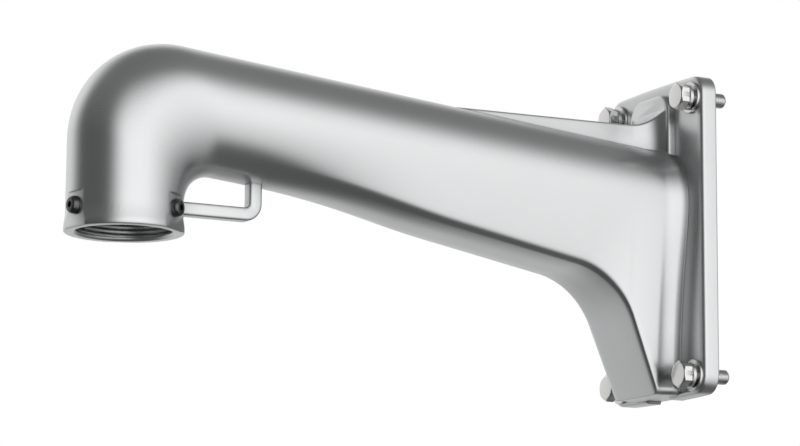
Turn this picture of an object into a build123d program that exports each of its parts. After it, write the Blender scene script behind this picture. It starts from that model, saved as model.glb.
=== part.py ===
"""Camera wall bracket: a cast swan-neck arm on a wall plate, with its fasteners and cable hook.

Millimetres and degrees. The origin is the middle of the four wall bolts on the plate's back
face, which lies against the wall. +X points into the wall, the arm reaches out to -X, and +Z is up.
"""

from build123d import *
from math import cos, radians, sin, sqrt, tan
import os

# Wall plate
plate_width = 93.0
plate_height = 173.0
plate_thickness = 9.0
plate_centre_z = 1.0            # the plate stands a little higher than its bolts
plate_corner_radius = 10.0
plate_crown = 1.0               # how far the top and bottom edges bow outwards
plate_edge_round = 2.0
drain_notch_width = 20.0
drain_notch_depth = 1.4

# Wall bolts: M8 x 25 hexagon bolts, each with a spring washer and a flat washer
bolt_spacing_y = 73.0
bolt_spacing_z = 150.0
bolt_diameter = 8.0             # over the thread, which starts at the plate's back
bolt_shank_diameter = 7.8       # plain part under the head
bolt_length = 25.0
bolt_chamfer = 0.8
bolt_head_across_flats = 13.0
bolt_head_height = 5.3
bolt_head_chamfer_angle = 30.0
bolt_head_face_diameter = 12.2  # round face that the head's chamfer leaves
bolt_hole_diameter = 9.0
flat_washer_diameter = 17.0
flat_washer_thickness = 1.6
spring_washer_width = 2.6
spring_washer_thickness = 2.1
spring_washer_rise = 1.3        # how far the split ends stand apart
spring_washer_turn = 345.0
washer_clearance = 0.2          # between a bolt's shank and its washers

# Camera collar: the pipe's open end, with the thread that takes the camera
pipe_reach = 320.0              # wall to pipe axis
pipe_radius = 29.25
rim_z = -19.5
rim_radius = 30.0
rim_height = 6.5
rim_edge_round = 0.6
bore_radius = 23.9              # carries the camera's thread
bore_depth = 15.0               # up to a shoulder inside the pipe
thread_lead_in = 1.2

# Collar screws: M6 button heads on three small flats around the collar
collar_screw_count = 3
collar_screw_first_angle = -50.0
collar_screw_height = 11.0      # above the rim
collar_screw_diameter = 6.0
collar_screw_tip_gap = 0.5      # the tip stops short of the bore
screw_hole_clearance = 0.05
collar_flat_distance = 28.4     # pipe axis to flat
collar_flat_height = 18.0
button_head_diameter = 10.5
button_head_height = 3.3
button_head_crown_diameter = 6.0
button_socket_across_flats = 4.0
button_socket_depth = 2.0

# Elbow, whose sections fan out about one line inside the bend
bend_to_pipe = 48.0             # that line to the pipe's axis
bend_x = bend_to_pipe - pipe_reach
bend_z = -3.0
elbow_outer_radius = 50.2
elbow_inner_radius = 16.0
elbow_steps = 8
elbow_lead = 12.0               # straight pipe below the bend's line that belongs to the loft

# Arm: round on top, with sides that draw in to a flat underside
top_at_wall = 49.7
top_angle = 5.46
arm_half_width_wall = 30.5
underside_half_width = 23.3
underside_angle = 10.8
knee_x = -47.1                  # where the underside and the foot's front would meet
knee_z = -22.2
knee_radius = 45.0
foot_angle = 68.5
foot_z = -84.0
foot_half_width = 21.5
foot_taper_x = -42.0            # from here to the plate the foot grows narrower
edge_radius = 2.5
belly_length = 100.0            # over this length the lower edges grow round towards the elbow
edge_fade_x = bend_x + belly_length
belly_drop = 3.0                # how far the round belly sags behind the elbow
wall_thickness = 6.0

# Rib on top of the arm, which sweeps up the plate and flares out to the root pad
rib_half_width = 6.0
rib_start_x = -135.0
rib_start_z = 62.6
rib_end_z = 64.0
rib_sweep_radius = 18.0
rib_flare_radius = 13.0

# Root pad: the raised outline around the arm's root on the plate
pad_thickness = 4.0
pad_edge_round = 1.3
pad_half_width = 33.5
pad_centre_z = 22.5
pad_foot_half_width = 22.0
pad_taper = 81.0                # height over which the pad draws in to its foot
pad_head_z = 81.0
pad_head_half_width = 19.5
pad_head_corner = 11.0

# Safety cable hook: a bent bar from the collar to the arm's underside
hook_width = 8.0                # along Y
hook_thickness = 6.8
hook_bottom_z = -10.0
hook_reach = 73.4               # pipe axis to the hook's outer face
hook_outer_bend = 7.5
hook_inner_bend = 1.8
hook_root = 28.0                # pipe axis to the hook's start inside the collar's wall
hook_end_z = 13.5               # inside the arm's underside

ARC = 0.5523                    # handle length that makes a cubic curve a quarter of a circle
SIDE_TOP_HANDLE = 12.0          # how far the arm's side runs down before it draws in
SIDE_LOW_HANDLE = 45.0          # how far below the widest point it has drawn in
NEARLY = 0.98                   # a full quarter round, less a narrow flat that keeps its edges
OVERLAP = 1.0                   # how far joined solids reach into each other

os.makedirs("parts", exist_ok=True)


def finish(part, name):
    """Names a finished piece and writes its STEP file."""
    part.label = name
    export_step(part, f"parts/{name}.step")


def arm_top(x):
    """Height of the arm's straight top line."""
    return top_at_wall - x * tan(radians(top_angle))


def lower_profile(inset):
    """Underside, knee and foot front in the XZ plane, moved into the metal by an inset."""
    turn = radians(foot_angle - underside_angle)
    inward = radians(90 - (foot_angle + underside_angle) / 2)
    reach = inset / cos(turn / 2)
    corner_x = knee_x + reach * cos(inward)
    corner_z = knee_z + reach * sin(inward)
    start_z = corner_z + (corner_x - edge_fade_x) * tan(radians(underside_angle))
    end_x = corner_x + (corner_z - foot_z - inset) / tan(radians(foot_angle))
    corners = [(edge_fade_x, 0, start_z), (corner_x, 0, corner_z), (end_x, 0, foot_z + inset)]
    with BuildLine() as profile:
        FilletPolyline(*corners, radius=knee_radius + inset)
    return profile.wire()


def section(plane, half_width, rise, drop, low_half_width, corner_y, corner_z):
    """One closed cross-section: an arched top, drawn-in sides and a flat bottom with corners."""
    side_drop = drop - corner_z
    top_handle = min(SIDE_TOP_HANDLE, 0.35 * side_drop)
    low_handle = min(SIDE_LOW_HANDLE, 0.65 * side_drop)
    top = Bezier((0, rise), (half_width * ARC, rise), (half_width, rise * ARC), (half_width, 0))
    side = Bezier(
        (half_width, 0),
        (half_width, -top_handle),
        (low_half_width, -low_handle),
        (low_half_width, -side_drop),
    )
    corner = Bezier(
        (low_half_width, -side_drop),
        (low_half_width, -side_drop - corner_z * ARC),
        (low_half_width - corner_y * (1 - ARC), -drop),
        (low_half_width - corner_y, -drop),
    )
    bottom = Line((low_half_width - corner_y, -drop), (0, -drop))
    edges = [top, side, corner, bottom]
    edges += [edge.mirror(Plane.YZ) for edge in reversed(edges)]
    return plane * Face(Wire(edges))


def fan_plane(angle, distance):
    """Section plane of the elbow: its upward axis points away from the bend's line."""
    outward = (cos(radians(angle)), 0, sin(radians(angle)))
    origin = (bend_x + distance * outward[0], 0, bend_z + distance * outward[2])
    return Plane(origin, x_dir=(0, 1, 0), z_dir=(outward[2], 0, -outward[0]))


def elbow_outside(angle):
    """Distance from the bend's line to the pipe's outside, the outer arc or the arm's top line."""
    along_x = cos(radians(angle))
    along_z = sin(radians(angle))
    slope = tan(radians(top_angle))
    # The arc touches the pipe's outside and the arm's top line
    arc_x = elbow_outer_radius - pipe_reach - pipe_radius
    arc_z = arm_top(arc_x) - elbow_outer_radius / cos(radians(top_angle))
    away = (arc_x - bend_x) * along_x + (arc_z - bend_z) * along_z
    across = (arc_x - bend_x) * along_z - (arc_z - bend_z) * along_x
    on_arc = away + sqrt(max(0.0, elbow_outer_radius**2 - across**2))
    if bend_z + on_arc * along_z < arc_z:
        return (pipe_reach + pipe_radius + bend_x) / -along_x
    if bend_x + on_arc * along_x > arc_x + elbow_outer_radius * sin(radians(top_angle)):
        return (arm_top(bend_x) - bend_z) / (along_z + slope * along_x)
    return on_arc


def elbow_section(angle, inset):
    """Oval cross-section of the elbow between its inner and its outer curve."""
    share = (180 - angle) / 90
    inner_at_pipe = pipe_reach - pipe_radius + bend_x
    inner = inner_at_pipe + share * (elbow_inner_radius - inner_at_pipe)
    outer = elbow_outside(angle)
    half_width = pipe_radius - inset
    reach = (outer - inner) / 2 - inset
    plane = fan_plane(angle, (outer + inner) / 2)
    return section(plane, half_width, reach, reach, half_width, NEARLY * half_width, NEARLY * reach)


def pipe_section(z, inset):
    """Round cross-section of the upright pipe."""
    radius = pipe_radius - inset
    plane = Plane((-pipe_reach, 0, z), x_dir=(0, 1, 0), z_dir=(0, 0, 1))
    return section(plane, radius, radius, radius, radius, NEARLY * radius, NEARLY * radius)


def arm_section(x, bottom, inset):
    """Upright cross-section of the arm at a distance from the wall, down to a given height."""
    share = (x - bend_x) / -bend_x
    half_width = pipe_radius + share * (arm_half_width_wall - pipe_radius) - inset
    widest_z = arm_top(x) - inset - half_width
    drop = widest_z - bottom
    # The lower corners shrink from a full quarter round at the elbow to the edge radius
    fade = min(1.0, max(0.0, (x - bend_x) / (edge_fade_x - bend_x)))
    taper = max(0.0, 1 - (x + plate_thickness) / (foot_taper_x + plate_thickness))
    low = underside_half_width + taper * (foot_half_width - underside_half_width) - inset
    low_half_width = half_width + fade * (low - half_width)
    corner_y = (1 - fade) * NEARLY * low_half_width + fade * (edge_radius + inset / 2)
    corner_z = (1 - fade) * NEARLY * drop + fade * (edge_radius + inset / 2)
    plane = Plane((x, 0, widest_z), x_dir=(0, 1, 0), z_dir=(1, 0, 0))
    return section(plane, half_width, half_width, drop, low_half_width, corner_y, corner_z)


def belly(inset):
    """Heights of the rounded belly between the elbow and the straight underside."""
    start = lower_profile(inset) @ 0
    elbow_z = bend_z + elbow_inner_radius + inset
    length = edge_fade_x - bend_x
    with BuildLine() as curve:
        Bezier(
            (bend_x, 0, elbow_z),
            (bend_x + 0.35 * length, 0, elbow_z - belly_drop),
            (edge_fade_x - 0.4 * length, 0, start.Z + 0.4 * length * tan(radians(underside_angle))),
            (edge_fade_x, 0, start.Z),
        )
    return curve.wire()


def arm_sections(inset):
    """All cross-sections from the pipe through the elbow and along the arm to the foot."""
    sections = [pipe_section(bend_z - elbow_lead, inset)]
    for step in range(elbow_steps):
        sections.append(elbow_section(180 - 90 * step / elbow_steps, inset))
    curve = belly(inset)
    for step in range(5):
        point = curve @ (step / 5)
        sections.append(arm_section(point.X, point.Z, inset))
    profile = lower_profile(inset)
    for step in range(13):
        point = profile @ (step / 12)
        sections.append(arm_section(point.X, point.Z, inset))
    return sections


def collar_plane(angle):
    """Plane through the pipe's axis at screw height, facing outwards at an angle about it."""
    facing = (cos(radians(angle)), sin(radians(angle)), 0)
    sideways = (-sin(radians(angle)), cos(radians(angle)), 0)
    return Plane((-pipe_reach, 0, rim_z + collar_screw_height), x_dir=sideways, z_dir=facing)


def swan_neck(wall_end_x, inset):
    """Pipe, elbow and arm as one solid, carried on straight towards the wall."""
    sections = arm_sections(inset)
    foot_x = sections[-1].bounding_box().max.X
    return loft(sections) + extrude(sections[-1], amount=wall_end_x - foot_x, dir=(1, 0, 0))


# Arm casting: plate, root pad, rib, arm, elbow and collar in one piece
bolt_places = []
for side_y in (-1, 1):
    for side_z in (-1, 1):
        bolt_places.append((side_y * bolt_spacing_y / 2, side_z * bolt_spacing_z / 2))
plate_top_z = plate_centre_z + plate_height / 2
plate_foot_z = plate_centre_z - plate_height / 2
screw_angles = []
for number in range(collar_screw_count):
    screw_angles.append(collar_screw_first_angle + number * 360 / collar_screw_count)
neck = swan_neck(OVERLAP - plate_thickness, 0)
hollow = swan_neck(OVERLAP, wall_thickness)

with BuildPart() as arm_casting:
    with BuildSketch(Plane.YZ):
        with BuildLine():
            low_corner = (plate_width / 2, plate_foot_z + plate_crown)
            high_corner = (plate_width / 2, plate_top_z - plate_crown)
            low_other = (-plate_width / 2, plate_foot_z + plate_crown)
            high_other = (-plate_width / 2, plate_top_z - plate_crown)
            Line(low_corner, high_corner)
            ThreePointArc(high_corner, (0, plate_top_z), high_other)
            Line(high_other, low_other)
            ThreePointArc(low_other, (0, plate_foot_z), low_corner)
        plate_face = make_face()
        fillet(plate_face.vertices(), plate_corner_radius)
        with Locations((0, plate_foot_z)):
            Rectangle(drain_notch_width, 2 * drain_notch_depth, mode=Mode.SUBTRACT)
    extrude(amount=-plate_thickness)
    fillet(arm_casting.faces().sort_by(Axis.X)[0].outer_wire().edges(), plate_edge_round)

    with BuildSketch(Plane.YZ.offset(OVERLAP - plate_thickness)):
        with Locations((0, pad_centre_z)):
            Circle(pad_half_width)
        with Locations((0, pad_head_z / 2)):
            RectangleRounded(2 * pad_head_half_width, pad_head_z, pad_head_corner)
        with BuildLine():
            Line((0, pad_centre_z), (pad_half_width, pad_centre_z))
            Bezier(
                (pad_half_width, pad_centre_z),
                (pad_half_width, pad_centre_z - 0.34 * pad_taper),
                (pad_foot_half_width, pad_centre_z - 0.58 * pad_taper),
                (pad_foot_half_width, pad_centre_z - pad_taper),
            )
            Line((pad_foot_half_width, pad_centre_z - pad_taper), (pad_foot_half_width, foot_z))
            Line((pad_foot_half_width, foot_z), (0, foot_z))
            mirror(about=Plane.YZ)
        make_face()
    pad = extrude(amount=-pad_thickness - OVERLAP, mode=Mode.PRIVATE)
    pad_edges = pad.faces().sort_by(Axis.X)[0].outer_wire().edges()
    add(pad.fillet(pad_edge_round, pad_edges))

    # Rib: its side view and its plan, cut from one another
    with BuildPart(mode=Mode.PRIVATE) as rib:
        sweep_x = -plate_thickness - OVERLAP
        sweep_top = rib_end_z + rib_sweep_radius
        inside_x = OVERLAP - plate_thickness
        with BuildSketch(Plane.XZ):
            with BuildLine():
                Line((rib_start_x, rib_start_z), (sweep_x - rib_sweep_radius, rib_end_z))
                RadiusArc(
                    (sweep_x - rib_sweep_radius, rib_end_z),
                    (sweep_x, sweep_top),
                    rib_sweep_radius,
                )
                Polyline(
                    (sweep_x, sweep_top),
                    (inside_x, sweep_top),
                    (inside_x, pad_centre_z),
                    (rib_start_x, pad_centre_z),
                    (rib_start_x, rib_start_z),
                )
            make_face()
        extrude(amount=pad_half_width, both=True)
        with BuildSketch(Plane.XY.offset(pad_centre_z)):
            flare_x = -plate_thickness - pad_thickness
            flare_y = rib_half_width + rib_flare_radius
            with BuildLine():
                Line((rib_start_x, 0), (rib_start_x, rib_half_width))
                Line((rib_start_x, rib_half_width), (flare_x - rib_flare_radius, rib_half_width))
                RadiusArc(
                    (flare_x - rib_flare_radius, rib_half_width),
                    (flare_x, flare_y),
                    rib_flare_radius,
                )
                Line((flare_x, flare_y), (inside_x, flare_y))
                Line((inside_x, flare_y), (inside_x, 0))
                mirror(about=Plane.XZ)
            make_face()
        extrude(amount=plate_height, mode=Mode.INTERSECT)
    add(rib.part)

    add(neck)
    with BuildPart(mode=Mode.PRIVATE) as rim:
        with Locations((-pipe_reach, 0, rim_z)):
            Cylinder(rim_radius, rim_height, align=(Align.CENTER, Align.CENTER, Align.MIN))
        fillet(rim.edges().filter_by(GeomType.CIRCLE), rim_edge_round)
    add(rim.part)

    # Hollow, flats, screw holes and bolt holes
    add(hollow, mode=Mode.SUBTRACT)
    with Locations((-pipe_reach, 0, rim_z + bore_depth)):
        Cylinder(
            bore_radius,
            bore_depth + OVERLAP,
            align=(Align.CENTER, Align.CENTER, Align.MAX),
            mode=Mode.SUBTRACT,
        )
    with Locations((-pipe_reach, 0, rim_z - OVERLAP)):
        Cone(
            bore_radius + thread_lead_in + OVERLAP,
            bore_radius - OVERLAP,
            thread_lead_in + 2 * OVERLAP,
            align=(Align.CENTER, Align.CENTER, Align.MIN),
            mode=Mode.SUBTRACT,
        )
    for angle in screw_angles:
        outward = collar_plane(angle)
        with BuildSketch(outward.offset(collar_flat_distance)):
            with Locations((0, collar_flat_height / 2 - collar_screw_height)):
                Rectangle(rim_radius, collar_flat_height)
        extrude(amount=rim_radius, mode=Mode.SUBTRACT)
        with BuildSketch(outward.offset(bore_radius - OVERLAP)):
            Circle(collar_screw_diameter / 2 + screw_hole_clearance)
        extrude(amount=rim_radius, mode=Mode.SUBTRACT)
    with BuildSketch(Plane.YZ.offset(OVERLAP)):
        with Locations(*bolt_places):
            Circle(bolt_hole_diameter / 2)
    extrude(amount=-plate_thickness - 2 * OVERLAP, mode=Mode.SUBTRACT)
finish(arm_casting.part, "arm_casting")

# Safety cable hook: its ends are cut to the collar and to the arm's underside
hook_root_x = hook_root - pipe_reach
hook_outer_x = hook_reach - pipe_reach
with BuildPart() as cable_hook:
    with BuildSketch(Plane.XZ):
        with BuildLine():
            outside = FilletPolyline(
                (hook_root_x, hook_bottom_z),
                (hook_outer_x, hook_bottom_z),
                (hook_outer_x, hook_end_z),
                radius=hook_outer_bend,
            )
            inside = FilletPolyline(
                (hook_root_x, hook_bottom_z + hook_thickness),
                (hook_outer_x - hook_thickness, hook_bottom_z + hook_thickness),
                (hook_outer_x - hook_thickness, hook_end_z),
                radius=hook_inner_bend,
            )
            Line(outside @ 0, inside @ 0)
            Line(outside @ 1, inside @ 1)
        make_face()
    extrude(amount=hook_width / 2, both=True)
    add(neck, mode=Mode.SUBTRACT)
finish(cable_hook.part, "cable_hook")

# Collar screws
crown = (button_head_diameter - button_head_crown_diameter) / 2
with BuildPart() as collar_screw:
    with BuildSketch():
        Circle(button_head_diameter / 2)
    extrude(amount=button_head_height)
    chamfer(
        collar_screw.faces().sort_by(Axis.Z)[-1].edges(),
        length=0.8 * button_head_height,
        length2=crown,
    )
    with BuildSketch(Plane.XY.offset(button_head_height)):
        RegularPolygon(button_socket_across_flats / 2, 6, major_radius=False)
    extrude(amount=-button_socket_depth, mode=Mode.SUBTRACT)
    with BuildSketch():
        Circle(collar_screw_diameter / 2)
    extrude(amount=bore_radius + collar_screw_tip_gap - collar_flat_distance)
for number, angle in enumerate(screw_angles, start=1):
    seat = collar_plane(angle).offset(collar_flat_distance)
    finish(seat.location * collar_screw.part, f"collar_screw_{number}")

# Wall bolts and their washers, built with the washers' outer face at the origin
stack = spring_washer_thickness + spring_washer_rise + flat_washer_thickness
washer_radius = bolt_diameter / 2 + washer_clearance
with BuildPart() as wall_bolt:
    with BuildSketch():
        RegularPolygon(bolt_head_across_flats / 2, 6, major_radius=False, rotation=30)
    extrude(amount=bolt_head_height)
    head_slope = bolt_head_height / tan(radians(bolt_head_chamfer_angle))
    Cone(
        bolt_head_face_diameter / 2 + head_slope,
        bolt_head_face_diameter / 2,
        bolt_head_height,
        align=(Align.CENTER, Align.CENTER, Align.MIN),
        mode=Mode.INTERSECT,
    )
    with BuildSketch():
        Circle(bolt_shank_diameter / 2)
    extrude(amount=-stack - plate_thickness)
    with BuildSketch(Plane.XY.offset(-stack - plate_thickness)):
        Circle(bolt_diameter / 2)
    extrude(amount=stack + plate_thickness - bolt_length)
    chamfer(wall_bolt.faces().sort_by(Axis.Z)[0].edges(), bolt_chamfer)

with BuildPart() as flat_washer:
    with BuildSketch():
        Circle(flat_washer_diameter / 2)
        Circle(washer_radius, mode=Mode.SUBTRACT)
    extrude(amount=flat_washer_thickness)

with BuildPart() as spring_washer:
    middle = washer_radius + spring_washer_width / 2
    with BuildLine():
        coil = Helix(
            pitch=spring_washer_rise * 360 / spring_washer_turn,
            height=spring_washer_rise,
            radius=middle,
        )
    with BuildSketch(Plane.XZ):
        with Locations((middle, 0)):
            Rectangle(spring_washer_width, spring_washer_thickness)
    sweep(path=coil, is_frenet=True)

for number, (place_y, place_z) in enumerate(bolt_places, start=1):
    face = Plane((-plate_thickness, place_y, place_z), x_dir=(0, 1, 0), z_dir=(-1, 0, 0))
    finish(face.location * flat_washer.part, f"flat_washer_{number}")
    coil_face = face.offset(flat_washer_thickness + spring_washer_thickness / 2)
    finish(coil_face.location * spring_washer.part, f"spring_washer_{number}")
    finish(face.offset(stack).location * wall_bolt.part, f"wall_bolt_{number}")
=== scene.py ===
"""Camera wall bracket, laid out as a Blender add-on that builds the visual model piece by piece."""

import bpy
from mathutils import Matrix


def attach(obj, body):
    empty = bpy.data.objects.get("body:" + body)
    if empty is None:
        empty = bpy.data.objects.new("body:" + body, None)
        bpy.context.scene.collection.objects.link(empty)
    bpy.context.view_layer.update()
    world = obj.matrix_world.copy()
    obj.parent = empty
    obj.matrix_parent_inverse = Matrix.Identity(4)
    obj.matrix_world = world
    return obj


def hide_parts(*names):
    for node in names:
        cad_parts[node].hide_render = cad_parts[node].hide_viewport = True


bl_info = {
    "name": "Camera Wall Bracket",
    "version": (1, 0, 0),
    "blender": (4, 5, 0),
    "location": "View3D > Sidebar > Bracket",
    "description": "Builds a swan-neck camera wall bracket with its fasteners and a studio",
    "category": "Add Mesh",
}

from math import atan2, cos, degrees, inf, pi, radians, sin, sqrt, tan

import bmesh
import bpy
from mathutils import Matrix, Vector

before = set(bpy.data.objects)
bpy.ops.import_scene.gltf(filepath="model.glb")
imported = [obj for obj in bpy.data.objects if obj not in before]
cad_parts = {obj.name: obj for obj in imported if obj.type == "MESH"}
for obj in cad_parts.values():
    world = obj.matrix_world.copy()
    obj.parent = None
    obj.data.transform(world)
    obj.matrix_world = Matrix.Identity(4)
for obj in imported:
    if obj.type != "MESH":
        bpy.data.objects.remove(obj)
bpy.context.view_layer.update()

MM = 0.001
ARC = 0.5523  # handle length that makes a cubic curve a quarter of a circle


# Settings


def length_setting(name, description, millimetres):
    """A size in metres whose default is given in millimetres."""
    return bpy.props.FloatProperty(
        name=name, description=description, default=millimetres * MM, unit="LENGTH", precision=5
    )


def angle_setting(name, description, angle):
    """An angle whose default is given in degrees."""
    return bpy.props.FloatProperty(
        name=name, description=description, default=radians(angle), unit="ROTATION"
    )


def number_setting(name, description, value):
    """A plain number, such as a strength of light."""
    return bpy.props.FloatProperty(name=name, description=description, default=value, min=0)


def colour_setting(name, description, red, green, blue):
    """A linear colour."""
    return bpy.props.FloatVectorProperty(
        name=name, description=description, default=(red, green, blue), subtype="COLOR", min=0, max=1
    )


class PlateSettings(bpy.types.PropertyGroup):
    """Wall plate and the raised pad around the arm's root"""

    width: length_setting("Width", "Plate width along Y", 93)
    height: length_setting("Height", "Plate height at its middle", 173)
    thickness: length_setting("Thickness", "Plate thickness from the wall", 9)
    centre_z: length_setting("Centre", "Height of the plate's middle", 1)
    corner: length_setting("Corner", "Radius of the plate's corners", 10)
    crown: length_setting("Crown", "How far the top and bottom edges bow out", 1)
    edge: length_setting("Edge", "Rounding of the plate's front edge", 2)
    notch_width: length_setting("Notch width", "Width of the drain notch", 20)
    notch_depth: length_setting("Notch depth", "Depth of the drain notch", 1.4)
    pad_thickness: length_setting("Pad", "How far the root pad stands off the plate", 4)
    pad_edge: length_setting("Pad edge", "Rounding of the root pad's edge", 1.3)
    pad_half_width: length_setting("Pad half width", "Half width of the pad's round middle", 30)
    pad_centre_z: length_setting("Pad centre", "Height of the pad's round middle", 22.5)
    pad_taper: length_setting("Pad taper", "Height over which the pad draws in", 81)
    pad_foot: length_setting("Pad foot", "Half width of the pad's foot", 18)
    pad_head: length_setting("Pad head", "Half width of the pad's head", 19.5)
    pad_head_z: length_setting("Pad top", "Height of the pad's top", 81)
    pad_head_corner: length_setting("Pad head corner", "Corner radius of the head", 11)


class ArmSettings(bpy.types.PropertyGroup):
    """Hollow arm, elbow and collar"""

    reach: length_setting("Reach", "Wall to the pipe's axis", 320)
    pipe: length_setting("Pipe radius", "Outside radius of the pipe", 29.25)
    rim_z: length_setting("Rim", "Height of the collar's open edge", -19.5)
    rim: length_setting("Rim radius", "Radius of the collar's rim", 30)
    rim_height: length_setting("Rim height", "How far the rim reaches up the pipe", 6.5)
    bore: length_setting("Bore radius", "Crest radius of the camera thread", 23.9)
    bore_depth: length_setting("Bore depth", "Depth of the camera thread", 15)
    thread_pitch: length_setting("Thread pitch", "Pitch of the camera thread", 2.309)
    thread_depth: length_setting("Thread depth", "Depth of the camera thread's grooves", 0.16)
    bend: length_setting("Bend", "From the pipe's axis to the line that the elbow bends about", 48)
    bend_z: length_setting("Bend Z", "Height of that line", -3)
    elbow: length_setting("Elbow radius", "Radius of the elbow's outer arc", 50.2)
    elbow_inner: length_setting("Elbow rise", "From the bend's line to the belly", 16)
    top_z: length_setting("Top at wall", "Height of the top line at the wall", 49.7)
    top_angle: angle_setting("Top angle", "Slope of the top line", 5.46)
    half_width: length_setting("Half width", "Half width of the arm at the wall", 30.5)
    underside: length_setting("Underside", "Half width of the flat underside", 23.3)
    underside_angle: angle_setting("Underside angle", "Slope of the underside", 10.8)
    knee_x: length_setting("Knee X", "Where underside and foot would meet", -47.1)
    knee_z: length_setting("Knee Z", "Height of that meeting", -22.2)
    knee: length_setting("Knee radius", "Radius of the knee", 45)
    foot_angle: angle_setting("Foot angle", "Slope of the foot's front", 68.5)
    foot_z: length_setting("Foot", "Height of the foot's bottom", -84)
    foot: length_setting("Foot half width", "Half width of the foot's bottom", 20.5)
    foot_taper_x: length_setting("Foot taper", "Where the foot starts to draw in", -42)
    edge: length_setting("Lower edge", "Radius of the lower edges", 3.8)
    fade: length_setting("Edge fade", "Length over which the lower edges grow round", 130)
    straight_x: length_setting("Underside start", "From the bend's line to the straight underside", 100)
    bottom_sag: length_setting("Bottom sag", "How far the underside's middle sags", 3.6)
    belly: length_setting("Belly", "Sag of the round belly behind the elbow", 3)
    wall: length_setting("Wall", "Thickness of the casting's wall", 6)
    root_flare: length_setting("Root flare", "Reach of the flare at the arm's root", 9)
    rib: length_setting("Rib", "Half width of the rib on top", 6)
    rib_x: length_setting("Rib start", "Where the rib leaves the top line", -135)
    rib_low: length_setting("Rib start height", "Height of the rib at its start", 62.6)
    rib_high: length_setting("Rib end height", "Height of the rib before its sweep", 64)
    rib_sweep: length_setting("Rib sweep", "Radius of the rib's sweep up the plate", 18)
    rib_flare: length_setting("Rib flare", "How far the rib flares out at the pad", 12)
    rib_flare_length: length_setting("Rib flare length", "Length of that flare", 25)
    rib_edge: length_setting("Rib edge", "Rounding of the rib's upper edges", 1.2)


class FastenerSettings(bpy.types.PropertyGroup):
    """Bolts, washers, collar screws and the safety cable hook"""

    spacing_y: length_setting("Spacing Y", "Wall bolts apart across", 73)
    spacing_z: length_setting("Spacing Z", "Wall bolts apart in height", 150)
    bolt: length_setting("Bolt", "Bolt radius", 4)
    bolt_length: length_setting("Bolt length", "Length under the head", 25)
    bolt_pitch: length_setting("Bolt pitch", "Pitch of the bolt's thread", 1.25)
    head_flats: length_setting("Head", "Bolt head across flats", 13)
    head_height: length_setting("Head height", "Height of the bolt head", 5.3)
    hole: length_setting("Hole", "Radius of the plate's bolt holes", 4.5)
    flat_washer: length_setting("Flat washer", "Radius of the flat washer", 8.5)
    flat_thickness: length_setting("Flat washer thickness", "Its thickness", 1.6)
    spring_width: length_setting("Spring washer width", "Width of its bar", 2.6)
    spring_thickness: length_setting("Spring washer thickness", "Thickness of its bar", 2.1)
    spring_rise: length_setting("Spring washer rise", "How far its split ends stand apart", 1.3)
    spring_turn: angle_setting("Spring washer turn", "How far round the bar goes", 345)
    clearance: length_setting("Clearance", "Between a shank and its washers", 0.2)
    screw_count: bpy.props.IntProperty(
        name="Collar screws", description="Screws around the collar", default=3, min=1
    )
    screw_angle: angle_setting("First screw", "Angle of the first collar screw", -50)
    screw_height: length_setting("Screw height", "Screw axis above the rim", 11)
    screw: length_setting("Screw radius", "Radius of the collar screws", 3)
    screw_length: length_setting("Screw length", "Length under the head", 4)
    flat_distance: length_setting("Flat", "Pipe axis to the screws' flats", 28.4)
    flat_height: length_setting("Flat height", "Height of the screws' flats", 18)
    button: length_setting("Button head", "Radius of the button head", 4.5)
    button_height: length_setting("Button height", "Height of the button head", 3.3)
    button_crown: length_setting("Button crown", "Radius of the head's flat crown", 3.1)
    socket: length_setting("Socket", "Hexagon socket across flats", 3)
    socket_depth: length_setting("Socket depth", "Depth of the socket", 2)
    hook_width: length_setting("Hook width", "Width of the hook along Y", 8)
    hook_thickness: length_setting("Hook thickness", "Thickness of the hook's bar", 6.8)
    hook_z: length_setting("Hook bottom", "Height of the hook's lowest face", -8.1)
    hook_reach: length_setting("Hook reach", "Pipe's axis to the hook's outer face", 73.4)
    hook_bend: length_setting("Hook bend", "Outer radius of the hook's bend", 9)
    hook_inner: length_setting("Hook inner bend", "Inner radius of the hook's bend", 2.6)
    hook_root: length_setting("Hook start", "Pipe's axis to the hook's start in the collar", 28.5)
    hook_end_z: length_setting("Hook top", "Where the hook ends in the arm", 12.5)
    hook_edge: length_setting("Hook edge", "Rounding of the hook's edges", 1.3)


class FinishSettings(bpy.types.PropertyGroup):
    """Colours and finishes"""

    casting: colour_setting("Casting", "Satin cast metal", 0.80, 0.81, 0.815)
    casting_roughness: number_setting("Casting roughness", "Roughness of the satin casting", 0.29)
    steel: colour_setting("Steel", "Bright bolt steel", 0.93, 0.93, 0.92)
    black: colour_setting("Black screws", "Black oxide of the collar screws", 0.13, 0.13, 0.135)


class StageSettings(bpy.types.PropertyGroup):
    """Camera, light and floor"""

    focal_length: number_setting("Focal length", "Lens on a 36 mm sensor, in mm", 133.7)
    camera: bpy.props.FloatVectorProperty(
        name="Camera",
        description="Place of the camera",
        default=(-0.86804, -1.34949, -0.26408),
        unit="LENGTH",
    )
    yaw: angle_setting("Yaw", "Camera's turn from +Y towards +X", 27.485)
    pitch: angle_setting("Pitch", "Camera's tilt upwards", 9.805)
    roll: angle_setting("Roll", "Camera's roll", 0.374)
    floor: colour_setting("Floor", "Pale studio floor", 0.86, 0.86, 0.86)
    floor_z: length_setting("Floor height", "Height of the floor", -620)
    floor_glow: number_setting("Floor glow", "Strength of the floor's own light", 0.42)
    key_light: number_setting("Key light", "Level of the light on the near side", 1.1)
    back_light: number_setting("Back light", "Level of the light on the far side", 0.74)
    fill_light: number_setting("Fill light", "Level of the light from everywhere", 0.08)


# Mesh helpers


def cubic(points, share):
    """Point at a share of the way along a cubic curve in 2-D."""
    rest = 1 - share
    weights = (rest**3, 3 * rest**2 * share, 3 * rest * share**2, share**3)
    return (
        sum(w * p[0] for w, p in zip(weights, points)),
        sum(w * p[1] for w, p in zip(weights, points)),
    )


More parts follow.
